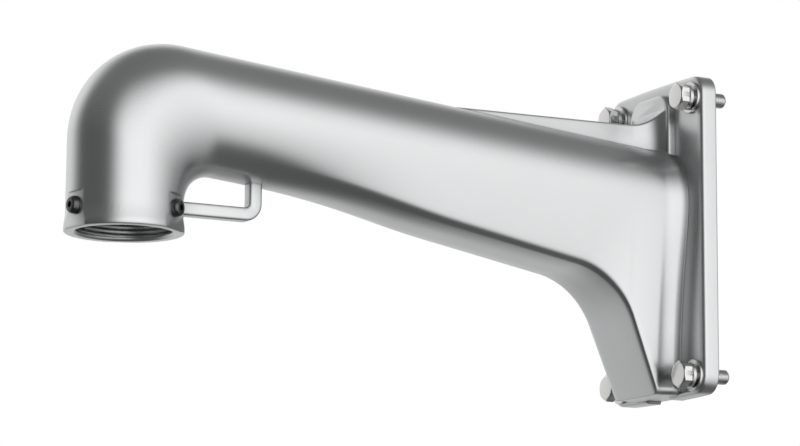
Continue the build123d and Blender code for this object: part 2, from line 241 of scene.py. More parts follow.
def arc_points(centre, radius, start, end, steps):
    """Points on an arc between two angles in degrees, both ends included."""
    points = []
    for step in range(steps + 1):
        angle = radians(start + (end - start) * step / steps)
        points.append((centre[0] + radius * cos(angle), centre[1] + radius * sin(angle)))
    return points


def new_object(name, bm):
    """Object at the origin from a finished bmesh, with its faces turned outwards."""
    bmesh.ops.remove_doubles(bm, verts=bm.verts, dist=1e-7)
    bmesh.ops.recalc_face_normals(bm, faces=bm.faces)
    mesh = bpy.data.meshes.new(name)
    bm.to_mesh(mesh)
    bm.free()
    item = bpy.data.objects.new(name, mesh)
    bpy.context.scene.collection.objects.link(item)
    return item


def within(value):
    """A number kept between 0 and 1."""
    return min(1.0, max(0.0, value))


def straight(one, two, shares):
    """Points on a straight run in 2-D, at shares of its length."""
    return [tuple(a + share * (b - a) for a, b in zip(one, two)) for share in shares]


def skin(bm, rings, closed):
    """Quads between neighbouring rings of points, with a cap on each open end."""
    loops = [[bm.verts.new(point) for point in ring] for ring in rings]
    pairs = list(zip(loops, loops[1:]))
    if closed:
        pairs.append((loops[-1], loops[0]))
    for one, two in pairs:
        count = len(one)
        for i in range(count):
            j = (i + 1) % count
            bm.faces.new((one[i], one[j], two[j], two[i]))
    if not closed:
        bm.faces.new(loops[0])
        bm.faces.new(loops[-1])


def solid(name, *shapes, closed=False):
    """Object made of one or more shapes, each given as rings of points."""
    bm = bmesh.new()
    for rings in shapes:
        skin(bm, rings, closed)
    return new_object(name, bm)


def circle(radius, height, steps):
    """Points round a level circle about the Z axis."""
    ring = []
    for step in range(steps):
        angle = 2 * pi * step / steps
        ring.append(Vector((radius * cos(angle), radius * sin(angle), height)))
    return ring


def lathe(profile, place, steps):
    """Rings of a solid of revolution, from (radius, height) pairs and a place in the frame."""
    return [[place @ point for point in circle(radius, z, steps)] for radius, z in profile]


def prism(outline, place, low, high):
    """Rings of a straight solid between two heights over an outline of 2-D points."""
    return [[place @ Vector((u, v, height)) for u, v in outline] for height in (low, high)]


def crest(z, pitch, angle):
    """How near a point of a thread is to its crest: 1 on it, 0 at the bottom of the groove."""
    phase = (z / pitch - angle / (2 * pi)) % 1
    return abs(2 * phase - 1)


def carve(target, tool, operation="DIFFERENCE"):
    """Applies an exact Boolean to the target and removes the tool."""
    step = target.modifiers.new(operation.title(), "BOOLEAN")
    step.operation = operation
    step.solver = "EXACT"
    step.use_self = False
    step.object = tool
    apply_modifiers(target)
    bpy.data.objects.remove(tool)


def apply_modifiers(item):
    """Turns an object's evaluated mesh into its own mesh and clears its modifiers."""
    bpy.context.view_layer.update()
    evaluated = item.evaluated_get(bpy.context.evaluated_depsgraph_get())
    mesh = bpy.data.meshes.new_from_object(evaluated)
    item.modifiers.clear()
    item.data = mesh


def smooth(item, angle):
    """Shades an object smooth, with edges sharper than an angle in degrees kept crisp."""
    item.data.shade_smooth()
    item.data.set_sharp_from_angle(angle=radians(angle))


def finish_piece(item, material, slot, *nodes):
    """Gives a finished piece its material and its body, and hides the CAD nodes that it stands for."""
    if material.name not in [m.name for m in item.data.materials if m]:
        item.data.materials.clear()
        item.data.materials.append(material)
    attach(item, "root")
    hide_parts(*nodes)


# Shader helpers


class Socket:
    """Wraps a shader socket so that shader maths reads as Python expressions."""

    def __init__(self, shader, link):
        self.shader = shader
        self.link = link

    def _math(self, operation, *values):
        return self.shader.node("ShaderNodeMath", {"operation": operation}, *values)

    def __add__(self, other):
        return self._math("ADD", self, other)

    __radd__ = __add__

    def __sub__(self, other):
        return self._math("SUBTRACT", self, other)

    def __rsub__(self, other):
        return self._math("SUBTRACT", other, self)

    def __mul__(self, other):
        return self._math("MULTIPLY", self, other)

    __rmul__ = __mul__

    def absolute(self):
        return self._math("ABSOLUTE", self)

    def clamp(self):
        return self.shader.node("ShaderNodeClamp", {}, self)


class Shader:
    """A material or world node tree that is being written."""

    def __init__(self, owner):
        owner.use_nodes = True
        self.tree = owner.node_tree
        self.tree.nodes.clear()

    def node(self, kind, settings, *values, output=0, **named):
        """Adds a node, sets its settings, then its sockets, and returns one output."""
        made = self.tree.nodes.new(kind)
        for key, value in settings.items():
            setattr(made, key, value)
        for socket, value in list(enumerate(values)) + list(named.items()):
            if isinstance(socket, str):
                socket = socket.replace("_", " ")
            if isinstance(value, Socket):
                self.tree.links.new(value.link, made.inputs[socket])
            elif value is not None:
                made.inputs[socket].default_value = value
        return Socket(self, made.outputs[output])

    def separate(self, vector):
        """The three parts of a vector."""
        parts = self.node("ShaderNodeSeparateXYZ", {}, vector)
        return [Socket(self, out) for out in parts.link.node.outputs]

    def blend(self, factor, one, two):
        """Colour mixed from one to two: a Mix node's colours are its inputs 6 and 7."""
        skipped = [None] * 5
        return self.node("ShaderNodeMix", {"data_type": "RGBA"}, factor, *skipped, one, two, output=2)

    def output(self, kind, surface):
        """Ends the tree."""
        end = self.tree.nodes.new(kind)
        self.tree.links.new(surface.link, end.inputs["Surface"])


def new_material(name, colour):
    """Node tree of a fresh material with a viewport colour."""
    material = bpy.data.materials.new(name)
    material.diffuse_color = (*colour, 1)
    return Shader(material)


def tint(colour, share):
    """Colour times a share, kept within 1, as the four values of a socket."""
    return (*[min(1.0, part * share) for part in colour], 1)


def noise(shader, scale, detail):
    """Noise in the piece's own coordinates."""
    place = shader.node("ShaderNodeTexCoord", {}, output=3)
    return shader.node("ShaderNodeTexNoise", {}, Vector=place, Scale=scale, Detail=detail)


def relief(shader, samples, radius, strength, height):
    """Fine bumps, on edges that are rounded by a radius."""
    soft = shader.node("ShaderNodeBevel", {"samples": samples}, Radius=radius)
    return shader.node(
        "ShaderNodeBump", {}, Strength=strength, Distance=0.1 * MM, Height=height, Normal=soft
    )


def bare_metal(shader, colour, roughness, normal=None):
    """Ends a material as bare metal."""
    surface = shader.node(
        "ShaderNodeBsdfPrincipled",
        {},
        Base_Color=colour,
        Metallic=1.0,
        Roughness=roughness,
        Normal=normal,
    )
    shader.output("ShaderNodeOutputMaterial", surface)


def satin_casting(finish):
    """Fine-blasted cast metal: soft sheen, faint mottling, rounded creases, and painted shade that
    darkens recesses.
    """
    shader = new_material("Satin casting", finish.casting)
    cloud = noise(shader, 38.0, 3.0)
    grain = noise(shader, 2600.0, 2.0)
    tone = (cloud - 0.5) * 0.05 + 0.5
    mottled = shader.blend(tone, tint(finish.casting, 0.94), tint(finish.casting, 1.04))
    # Painted shade: where the share of open space within 20 mm of a point is small, the colour darkens
    # towards a dark tint
    painted_shade_openness = shader.node("ShaderNodeAmbientOcclusion", {"samples": 8}, Distance=20 * MM, output=1)
    # Painted shade in corners and recesses, mixed into the base colour
    colour = shader.blend(((painted_shade_openness - 0.3) * 1.8).clamp(), tint(finish.casting, 0.42), mottled)
    roughness = (cloud - 0.5) * 0.06 + (grain - 0.5) * 0.05 + finish.casting_roughness
    bare_metal(shader, colour, roughness, relief(shader, 6, 1.1 * MM, 0.06, grain))


def bright_steel(finish):
    """Bright bolt steel with faint turning marks."""
    shader = new_material("Bright bolt steel", finish.steel)
    cloud = noise(shader, 420.0, 4.0)
    colour = shader.blend(cloud, tint(finish.steel, 0.9), tint(finish.steel, 1))
    roughness = (cloud - 0.5) * 0.12 + 0.2
    bare_metal(shader, colour, roughness, relief(shader, 4, 0.4 * MM, 0.05, cloud))


def black_oxide(finish):
    """Blackened screw steel with a soft sheen."""
    shader = new_material("Black screw steel", finish.black)
    cloud = noise(shader, 600.0, 4.0)
    colour = shader.blend(cloud, tint(finish.black, 1), tint(finish.black, 1.4))
    bare_metal(shader, colour, (cloud - 0.5) * 0.12 + 0.24)


# Section rule of the arm


class ArmRule:
    """The cross-sections that make the pipe, the elbow and the arm, for one inset into the metal."""

    # How many sections each stretch has
    elbow_count = 45
    belly_count = 36
    underside_count = 34
    knee_count = 26
    foot_count = 16
    root_count = 8

    def __init__(self, arm, plate, inset=0.0):
        self.arm = arm
        self.plate = plate
        self.inset = inset
        self.bend_x = arm.bend - arm.reach
        self.fade_x = self.bend_x + arm.straight_x
        self.knee_path = self._knee_path()

    def top(self, x):
        """Height of the arm's straight top line."""
        return self.arm.top_z - x * tan(self.arm.top_angle)

    def _knee_path(self):
        """Underside, knee and foot front as points in XZ."""
        arm = self.arm
        turn = arm.foot_angle - arm.underside_angle
        inward = pi / 2 - (arm.foot_angle + arm.underside_angle) / 2
        reach = self.inset / cos(turn / 2)
        corner = (arm.knee_x + reach * cos(inward), arm.knee_z + reach * sin(inward))
        slope = tan(arm.underside_angle)
        start = (self.fade_x, corner[1] + (corner[0] - self.fade_x) * slope)
        foot_z = arm.foot_z + self.inset
        end = (corner[0] + (corner[1] - foot_z) / tan(arm.foot_angle), foot_z)
        radius = arm.knee + self.inset
        touch = radius * tan(turn / 2)
        first = (
            corner[0] - touch * cos(arm.underside_angle),
            corner[1] + touch * sin(arm.underside_angle),
        )
        centre = (
            first[0] - radius * sin(arm.underside_angle),
            first[1] - radius * cos(arm.underside_angle),
        )
        turn_start, turn_end = 90 - degrees(arm.underside_angle), 90 - degrees(arm.foot_angle)
        bend = arc_points(centre, radius, turn_start, turn_end, self.knee_count)
        before = [step / self.underside_count for step in range(self.underside_count)]
        after = [step / self.foot_count for step in range(1, self.foot_count + 1)]
        return straight(start, first, before) + bend + straight(bend[-1], end, after)

    def outside(self, angle):
        """Distance from the bend's line to the outer curve, at an angle from +X."""
        arm = self.arm
        along_x, along_z = cos(angle), sin(angle)
        arc_x = arm.elbow - arm.reach - arm.pipe
        arc_z = self.top(arc_x) - arm.elbow / cos(arm.top_angle)
        away = (arc_x - self.bend_x) * along_x + (arc_z - arm.bend_z) * along_z
        across = (arc_x - self.bend_x) * along_z - (arc_z - arm.bend_z) * along_x
        on_arc = away + sqrt(max(0.0, arm.elbow**2 - across**2))
        if arm.bend_z + on_arc * along_z < arc_z:
            return (arm.reach + arm.pipe + self.bend_x) / -along_x
        if self.bend_x + on_arc * along_x > arc_x + arm.elbow * sin(arm.top_angle):
            return (self.top(self.bend_x) - arm.bend_z) / (along_z + tan(arm.top_angle) * along_x)
        return on_arc

    def ring(self, half_width, rise, drop, low, fade, sag, detail, waist=0.0):
        """Points round one section in its own plane: across and up.

        At fade 0 its lower half is an ellipse, and at 1 it has drawn-in sides, rounded
        edges and a bottom that sags in the middle. The waist draws the sides in higher up.
        """
        edge = self.arm.edge + self.inset / 2
        sharp = Vector((low, -drop))
        shoulder = Vector((half_width, -0.3 * drop))
        upright = (shoulder - sharp).normalized().lerp(Vector((0, 1)), waist).normalized()
        tilt = 2 * atan2(sag, low)
        inward = Vector((-cos(tilt), -sin(tilt)))
        side_end = sharp + edge * upright
        bottom_end = sharp + edge * inward
        reach = (0.5 + 0.3 * waist) * (shoulder - side_end).length
        side = [(half_width, 0), (half_width, -0.18 * drop), side_end + reach * upright, side_end]
        corner = [side_end, sharp + 0.4 * edge * upright, sharp + 0.4 * edge * inward, bottom_end]
        middle = [(low / 3, -drop - sag), (0, -drop - sag)]
        under = [bottom_end, bottom_end + inward * low / 3, *middle]
        top = [(0, rise), (half_width * ARC, rise), (half_width, rise * ARC), (half_width, 0)]
        steps = round(14 * detail)
        half = [cubic(top, step / steps) for step in range(steps)]
        # Each curve has its steps, and the shares of a quarter turn between which it lies
        curves = ((side, 14, 0.0, 0.52), (corner, 8, 0.52, 0.68), (under, 8, 0.68, 1.0))
        for points, steps, first, last in curves:
            steps = max(2, round(steps * detail))
            for step in range(steps):
                share = step / steps
                turn = pi / 2 * (first + share * (last - first))
                oval = (half_width * cos(turn), -drop * sin(turn))
                half += straight(oval, cubic(points, share), [fade])
        half.append((0, -drop - fade * sag))
        return half + [(-across, up) for across, up in reversed(half[1:-1])]

    def pipe_ring(self, z, detail):
        """Round section of the upright pipe."""
        radius = self.arm.pipe - self.inset
        points = self.ring(radius, radius, radius, radius, 0, 0, detail)
        return [Vector((-self.arm.reach - up, across, z)) for across, up in points]

    def elbow_ring(self, angle, detail):
        """Oval section of the elbow at an angle from +X."""
        arm = self.arm
        share = (pi - angle) / (pi / 2)
        at_pipe = arm.reach - arm.pipe + self.bend_x
        inner = at_pipe + share * (arm.elbow_inner - at_pipe)
        outer = self.outside(angle)
        half_width = arm.pipe - self.inset
        reach = (outer - inner) / 2 - self.inset
        rise = reach + share**2 * (3 - 2 * share) * (half_width - reach)
        points = self.ring(half_width, rise, 2 * reach - rise, half_width, 0, 0, detail)
        middle = outer - self.inset - rise
        ring = []
        for across, up in points:
            x = self.bend_x + (middle + up) * cos(angle)
            ring.append(Vector((x, across, arm.bend_z + (middle + up) * sin(angle))))
        return ring

    def arm_ring(self, x, bottom, detail, flare=0.0):
        """Upright section of the arm at a distance from the wall."""
        arm = self.arm
        inset = self.inset
        share = (x - self.bend_x) / -self.bend_x
        half_width = arm.pipe + share * (arm.half_width - arm.pipe) - inset
        centre = self.top(x) - inset - half_width
        fade = within((x - self.bend_x) / arm.fade)
        fade = fade * fade * (3 - 2 * fade)
        plate = self.plate.thickness
        taper = max(0.0, 1 - (x + plate) / (arm.foot_taper_x + plate))
        low = arm.underside + taper * (arm.foot - arm.underside) - inset + flare
        sag = within(x / self.fade_x) * arm.bottom_sag
        half_width += flare
        waist = within(1 - x / (1.6 * arm.foot_taper_x))
        points = self.ring(half_width, half_width, centre - bottom, low, fade, sag, detail, waist)
        return [Vector((x, across, centre + up)) for across, up in points]

    def belly_path(self):
        """Bottom of the arm from the elbow to the straight underside, as points in XZ."""
        arm = self.arm
        start = self.knee_path[0]
        height = arm.bend_z + arm.elbow_inner + self.inset
        length = self.fade_x - self.bend_x
        curve = [
            (self.bend_x, height),
            (self.bend_x + 0.35 * length, height - arm.belly),
            (self.fade_x - 0.4 * length, start[1] + 0.4 * length * tan(arm.underside_angle)),
            (self.fade_x, start[1]),
        ]
        return [cubic(curve, step / self.belly_count) for step in range(self.belly_count)]

    def rings(self, pipe_end, wall_end, detail=1.0):
        """All sections from the pipe's end to the wall."""
        arm = self.arm
        length = arm.bend_z - pipe_end
        count = max(2, round(length / (4 * MM)))
        made = [self.pipe_ring(pipe_end + length * step / count, detail) for step in range(count)]
        for step in range(self.elbow_count):
            made.append(self.elbow_ring(pi - pi / 2 * step / self.elbow_count, detail))
        made += [self.arm_ring(x, z, detail) for x, z in self.belly_path() + self.knee_path]
        foot_x, foot_z = self.knee_path[-1]
        root = -self.plate.thickness - self.plate.pad_thickness
        count = self.root_count
        ends = [foot_x + (root - foot_x) * step / count for step in range(1, count + 1)]
        for x in ends + [wall_end]:
            into = within(1 - (root - x) / arm.root_flare)
            flare = 0.0 if self.inset else 0.25 * arm.root_flare * into**2
            made.append(self.arm_ring(x, foot_z, detail, flare))
        return made


# Pieces


def round_outline(points, radii, steps=10):
    """Closed outline in 2-D with each corner rounded by its own radius."""
    outline = []
    count = len(points)
    for i in range(count):
        corner = Vector(points[i])
        before = (Vector(points[i - 1]) - corner).normalized()
        after = (Vector(points[(i + 1) % count]) - corner).normalized()
        radius = radii[i]
        if radius <= 0:
            outline.append(tuple(corner))
            continue
        half = before.angle(after) / 2
        touch = radius / tan(half)
        centre = corner + (before + after).normalized() * (radius / sin(half))
        one = corner + before * touch - centre
        two = corner + after * touch - centre
        turn = one.angle_signed(two)
        for step in range(steps + 1):
            outline.append(tuple(centre + Matrix.Rotation(-turn * step / steps, 2) @ one))
    return outline


def plate_outline(plate):
    """Crowned plate with round corners and the drain notch, in Y and Z."""
    half = plate.width / 2
    top = plate.centre_z + plate.height / 2
    foot = plate.centre_z - plate.height / 2
    notch = plate.notch_width / 2
    rise = foot + plate.notch_depth
    shares = [step / 12 - 1 for step in range(1, 24)]
    lower = [(half * share, foot + plate.crown * share**2) for share in shares]
    lower = [point for point in lower if abs(point[0]) > notch + 2 * MM]
    corners = [(half, foot + plate.crown), (half, top - plate.crown)]
    corners += [(-half * share, top - plate.crown * share**2) for share in shares]
    corners += [(-half, top - plate.crown), (-half, foot + plate.crown)]
    corners += [point for point in lower if point[0] < 0]
    corners += [(-notch - 1 * MM, foot), (-notch, rise), (notch, rise), (notch + 1 * MM, foot)]
    corners += [point for point in lower if point[0] > 0]
    # Points of the crown that fall inside a corner's arc are left out
    kept, radii = [], []
    for point in corners:
        radius = plate.corner if abs(abs(point[0]) - half) < 1e-9 else 0
        if radius or abs(point[0]) < half - plate.corner:
            kept.append(point)
            radii.append(radius)
    return round_outline(kept, radii)


def pad_outline(plate, arm):
    """Root pad in Y and Z: a head, a round middle and a narrow foot."""
    neck_z = plate.pad_centre_z + sqrt(plate.pad_half_width**2 - plate.pad_head**2)
    first = degrees(atan2(neck_z - plate.pad_centre_z, plate.pad_head))
    corner = plate.pad_head_corner
    right = arc_points((plate.pad_head - corner, plate.pad_head_z - corner), corner, 90, 0, 12)
    right += arc_points((0, plate.pad_centre_z), plate.pad_half_width, first, 0, 22)
    taper = plate.pad_taper
    z = plate.pad_centre_z
    curve = [
        (plate.pad_half_width, z),
        (plate.pad_half_width, z - 0.34 * taper),
        (plate.pad_foot, z - 0.58 * taper),
        (plate.pad_foot, z - taper),
    ]
    right += [cubic(curve, step / 20) for step in range(1, 21)]
    right.append((plate.pad_foot, arm.foot_z))
    return right + [(-y, z) for y, z in reversed(right)]


def shrink(outline, amount):
    """Outline moved inwards by an amount, point by point."""
    points = [Vector(p) for p in outline]
    area = sum(a.x * b.y - b.x * a.y for a, b in zip(points, points[1:] + points[:1]))
    side = 1 if area > 0 else -1
    moved = []
    for i, point in enumerate(points):
        before = point - points[i - 1]
        after = points[(i + 1) % len(points)] - point
        if before.length < 1e-9 or after.length < 1e-9:
            before = after = points[(i + 2) % len(points)] - points[i - 2]
        one = Vector((-before.y, before.x)).normalized() * side
        two = Vector((-after.y, after.x)).normalized() * side
        normal = one + two
        normal = normal / max(0.5, normal.length_squared / 2)
        moved.append(tuple(point + normal * amount))
    return moved


def slab(outline, back, front, edge, steps=5):
    """Rings of a plate from its back to its front face in X, with a rounded front edge."""
    rings = [[Vector((back, y, z)) for y, z in outline]]
    for step in range(steps + 1):
        angle = pi / 2 * step / steps
        x = front + edge * (1 - sin(angle))
        inner = shrink(outline, edge * (1 - cos(angle)))
        rings.append([Vector((x, y, z)) for y, z in inner])
    return rings


def make_casting(context):
    """Plate, pad, rib, arm, elbow and collar as one closed mesh."""
    plate = context.scene.bracket_plate
    arm = context.scene.bracket_arm
    fasteners = context.scene.bracket_fasteners
    front = -plate.thickness
    axis = Matrix.Translation((-arm.reach, 0, 0))
    places = [collar_place(arm, fasteners, number) for number in range(fasteners.screw_count)]

    casting = solid("arm_casting_satin", slab(plate_outline(plate), 0, front, plate.edge))
    outline = pad_outline(plate, arm)
    # Each of these runs a millimetre or more into what it joins
    added = (
        ("pad", slab(outline, front + 2 * MM, front - plate.pad_thickness, plate.pad_edge, 4)),
        ("neck", ArmRule(arm, plate).rings(arm.rim_z + 3 * MM, front + 1 * MM)),
        ("rib", rib_rings(arm, plate)),
        ("rim", lathe(rim_profile(arm), axis, 128)),
    )
    for name, rings in added:
        carve(casting, solid(name, rings), "UNION")

    # The hollow starts inside the bore and comes out through the plate's back
    inner = ArmRule(arm, plate, arm.wall)
    carve(casting, solid("hollow", inner.rings(arm.rim_z + 4 * MM, 3 * MM, 0.7)))
    carve(casting, solid("bore", bore_rings(arm, axis)))

    # Upright flats on the collar for the screws' heads
    half = 0.6 * arm.rim
    low = -fasteners.screw_height - 2 * MM
    high = fasteners.flat_height - fasteners.screw_height
    outline = [(-half, low), (half, low), (half, high), (-half, high)]
    flats = [prism(outline, place, fasteners.flat_distance, arm.rim + 6 * MM) for place in places]
    carve(casting, solid("flats", *flats))

    # Holes for the collar screws and the wall bolts
    radius = fasteners.screw + 0.02 * MM
    profile = [(radius, arm.bore - 3 * MM), (radius, fasteners.flat_distance + 2 * MM)]
    holes = [lathe(profile, place, 32) for place in places]
    profile = [(fasteners.hole, -2 * MM), (fasteners.hole, plate.thickness + 2 * MM)]
    for y in (-1, 1):
        for z in (-1, 1):
            centre = Vector((0, y * fasteners.spacing_y / 2, z * fasteners.spacing_z / 2))
            place = Matrix.Translation(centre) @ Matrix.Rotation(-pi / 2, 4, "Y")
            holes.append(lathe(profile, place, 40))
    carve(casting, solid("holes", *holes))

    smooth(casting, 32)
    finish_piece(casting, bpy.data.materials["Satin casting"], "cast_aluminium", "arm_casting")


def rim_profile(arm):
    """Radius and height up the collar's rim, which fades into the pipe."""
    edge = 0.7 * MM
    top = arm.rim_z + arm.rim_height
    return [
        (arm.rim - edge, arm.rim_z),
        (arm.rim - 0.3 * edge, arm.rim_z + 0.3 * edge),
        (arm.rim, arm.rim_z + edge),
        (arm.rim, top - 4 * MM),
        (arm.rim - 0.2 * edge, top - 2.5 * MM),
        (arm.pipe - 0.1 * MM, top + 2 * MM),
    ]


def rib_rings(arm, plate):
    """Rib on top of the arm: it sweeps up the plate and flares out to the pad."""
    root = -plate.thickness - plate.pad_thickness
    sweep_start = -plate.thickness - 1 * MM - arm.rib_sweep
    length = sweep_start - arm.rib_x
    stations = [arm.rib_x + length * step / 20 for step in range(20)]
    stations += [sweep_start + (arm.rib_sweep - 2.6 * MM) * step / 28 for step in range(29)]
    low = arm.top_z - 26 * MM
    edge = arm.rib_edge
    rings = []
    for x in stations:
        top = arm.rib_low + min(1.0, (x - arm.rib_x) / length) * (arm.rib_high - arm.rib_low)
        into = max(0.0, x - sweep_start)
        top += arm.rib_sweep - sqrt(max(0.0, arm.rib_sweep**2 - into**2))
        into = within(1 - (root - x) / arm.rib_flare_length)
        half = arm.rib + arm.rib_flare * (1 - sqrt(1 - into**2))
        right = [(half, low + (top - edge - low) * step / 4) for step in range(5)]
        right += arc_points((half - edge, top - edge), edge, 0, 90, 4)[1:]
        right += [((half - edge) * (1 - step / 3), top) for step in range(1, 3)]
        points = right + [(0, top)] + [(-y, z) for y, z in reversed(right)]
        rings.append([Vector((x, y, z)) for y, z in points])
    return rings


def bore_rings(arm, axis):
    """Cutter for the camera thread, with its lead-in and the shoulder above it."""
    steps = 96
    pitch = arm.thread_pitch
    rows = round(arm.bore_depth / pitch * 8)
    lead = 1.2 * MM
    below = 2 * MM
    profile = [(arm.bore + below, arm.rim_z - below), (arm.bore + lead, arm.rim_z)]
    rings = lathe(profile, axis, steps)
    for row in range(rows + 1):
        z = lead + (arm.bore_depth - lead) * row / rows
        # The groove starts at a fifth of its depth and runs out over the last pitch
        share = min(1.0, (arm.bore_depth - z) / pitch, (z - lead) / (0.5 * pitch) + 0.2)
        depth = arm.thread_depth * max(0.0, share)
        ring = []
        for step in range(steps):
            angle = 2 * pi * step / steps
            radius = arm.bore + depth * (1 - crest(z, pitch, angle))
            ring.append(axis @ Vector((radius * cos(angle), radius * sin(angle), arm.rim_z + z)))
        rings.append(ring)
    return rings


def collar_place(arm, fasteners, number):
    """Place on the pipe's axis at screw height, whose local Z faces outwards."""
    angle = fasteners.screw_angle + 2 * pi * number / fasteners.screw_count
    facing = Vector((cos(angle), sin(angle), 0))
    sideways = Vector((-sin(angle), cos(angle), 0))
    upward = Vector((0, 0, 1))
    turned = Matrix((sideways, upward, facing)).transposed().to_4x4()
    return Matrix.Translation((-arm.reach, 0, arm.rim_z + fasteners.screw_height)) @ turned


def make_hook(context):
    """Bent flat bar for a safety cable, from the collar to the arm's underside."""
    fasteners = context.scene.bracket_fasteners
    reach = context.scene.bracket_arm.reach
    thick = fasteners.hook_thickness
    low, out = fasteners.hook_z, fasteners.hook_reach - reach
    points = [
        (fasteners.hook_root - reach, low),
        (out, low),
        (out, fasteners.hook_end_z),
        (out - thick, fasteners.hook_end_z),
        (out - thick, low + thick),
        (fasteners.hook_root - reach, low + thick),
    ]
    radii = [0, fasteners.hook_bend, 0, 0, fasteners.hook_inner, 0]
    outline = round_outline(points, radii, 12)
    half, edge = fasteners.hook_width / 2, fasteners.hook_edge
    rings = []
    for y, inset in hook_levels(half, edge):
        rings.append([Vector((x, y, z)) for x, z in shrink(outline, inset)])
    hook = solid("cable_hook_satin", rings)
    smooth(hook, 40)
    finish_piece(hook, bpy.data.materials["Satin casting"], "cast_aluminium", "cable_hook")


def hook_levels(half, edge):
    """Depths across the bar with the inset that rounds its long edges."""
    levels = []
    for step in range(4):
        angle = pi / 2 * step / 3
        levels.append((-half + edge * (1 - cos(angle)), edge * (1 - sin(angle))))
    return levels + [(-y, inset) for y, inset in reversed(levels)]


def shank_rings(radius, pitch, start, end):
    """Rings of a threaded rod with a chamfered tip, from a start height down to its end."""
    steps = 32
    depth = 0.61 * pitch  # depth of a metric outside thread
    rows = round((start - end) / pitch * 6)
    rings = []
    for row in range(rows + 1):
        z = start + (end - start) * row / rows
        tip = max(0.0, 1 * MM - (z - end))
        ring = []
        for step in range(steps):
            angle = 2 * pi * step / steps
            groove = max(0.0, 1 - crest(z, pitch, angle) * 1.15)
            size = min(radius - depth * groove, radius - 0.9 * tip)
            ring.append(Vector((size * cos(angle), size * sin(angle), z)))
        rings.append(ring)
    return rings


def hexagon_ring(across_flats, z, limit=inf):
    """Points round a hexagon, pulled in to a circle where a chamfer cuts its corners."""
    per_side = 8
    ring = []
    for side in range(6):
        for step in range(per_side):
            angle = pi / 3 * side + pi / 3 * step / per_side
            local = (angle % (pi / 3)) - pi / 6
            size = min(across_flats / 2 / cos(local), limit)
            ring.append(Vector((size * cos(angle), size * sin(angle), z)))
    return ring


def make_bolt_mesh(fasteners):
    """One hexagon bolt along Z, with the underside of its head at zero."""
    flats, height = fasteners.head_flats, fasteners.head_height
    flat = flats / 2
    corner = flat / cos(pi / 6)
    chamfer = corner - flat * 0.95
    head = [hexagon_ring(flats, 0, flat * 0.97)]
    head.append(hexagon_ring(flats, 0.15 * MM, flat * 0.99))
    head.append(hexagon_ring(flats, 0.3 * MM))
    for step in range(7):
        share = step / 6
        z = height - chamfer * 0.5 * (1 - share)
        head.append(hexagon_ring(flats, z, corner - share * chamfer))
    head.append(hexagon_ring(flats * 0.9, height + 0.02 * MM, flat * 0.88))
    shank = shank_rings(fasteners.bolt, fasteners.bolt_pitch, 0.5 * MM, -fasteners.bolt_length)
    return solid("wall_bolts_bright", head, shank)


def washer_profile(fasteners, outer, high, edge):
    """Radius and height round a washer's bar, with chamfered edges."""
    inner = fasteners.bolt + fasteners.clearance
    profile = [(inner, edge), (inner, high - edge), (inner + edge, high), (outer - edge, high)]
    return profile + [(outer, high - edge), (outer, edge), (outer - edge, 0), (inner + edge, 0)]


def make_flat_washer_mesh(fasteners):
    """One flat washer along Z from zero, with soft edges."""
    steps = 64
    high = fasteners.flat_thickness
    profile = washer_profile(fasteners, fasteners.flat_washer, high, 0.25 * MM)
    rings = []
    for step in range(steps):
        turn = Matrix.Rotation(2 * pi * step / steps, 3, "Z")
        rings.append([turn @ Vector((radius, 0, z)) for radius, z in profile])
    return solid("flat_washers_bright", rings, closed=True)


def make_spring_washer_mesh(fasteners):
    """One split spring washer along Z from zero, which climbs from end to end."""
    steps = 60
    outer = fasteners.bolt + fasteners.clearance + fasteners.spring_width
    profile = washer_profile(fasteners, outer, fasteners.spring_thickness, 0.2 * MM)
    rings = []
    for step in range(steps + 1):
        turn = Matrix.Rotation(fasteners.spring_turn * step / steps, 3, "Z")
        lift = Vector((0, 0, fasteners.spring_rise * step / steps))
        rings.append([turn @ Vector((radius, 0, z)) + lift for radius, z in profile])
    return solid("spring_washers_bright", rings)


def make_screw_mesh(fasteners):
    """One button-head screw along Z, with the underside of its head at zero."""
    button, high, crown = fasteners.button, fasteners.button_height, fasteners.button_crown
    shank, end = fasteners.screw, -fasteners.screw_length
    chamfer, lip = 0.5 * MM, 0.25 * MM
    profile = [(shank - chamfer, end), (shank, end + chamfer), (shank, 0)]
    profile += [(button - 0.2 * MM, 0), (button, lip)]
    for step in range(1, 9):
        angle = pi / 2 * step / 8
        radius = crown + (button - crown) * cos(angle)
        profile.append((radius, lip + (high - lip) * sin(angle) ** 0.9))
    rings = [circle(radius, z, 48) for radius, z in profile]
    rings += [hexagon_ring(fasteners.socket, z) for z in (high, high - fasteners.socket_depth)]
    return solid("collar_screws_black", rings)


